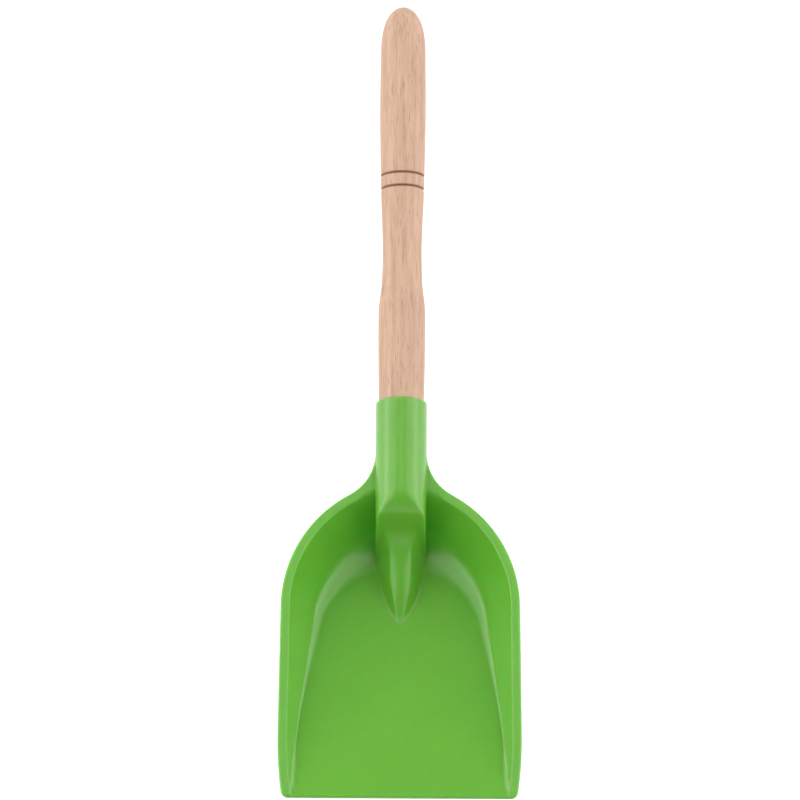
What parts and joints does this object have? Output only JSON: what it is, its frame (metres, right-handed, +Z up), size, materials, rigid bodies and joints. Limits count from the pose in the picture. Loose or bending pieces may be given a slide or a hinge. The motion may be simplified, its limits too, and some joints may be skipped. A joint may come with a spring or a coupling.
{
  "type": "sand shovel",
  "caption": "Child's sand shovel: a dished moulded plastic blade with flared walls and a round socket, on a turned wooden handle with burnt rings.",
  "frame": {"origin": "under the middle of the shovel's box, on the surface it lies on", "axes": "+Y from the blade's front edge towards the handle's end, +Z up, out of the open scoop"},
  "size_m": [0.1338, 0.4486, 0.0524],
  "materials": {
    "green_plastic": "bright green moulded polypropylene, semi-gloss",
    "beech": "turned beech, sanded, with two burnt rings",
    "zinc_steel": "zinc-plated steel"
  },
  "bodies": {
    "root": {"scoop": "green_plastic", "handle": "beech", "handle_screw": "zinc_steel"}
  },
  "joints": []
}
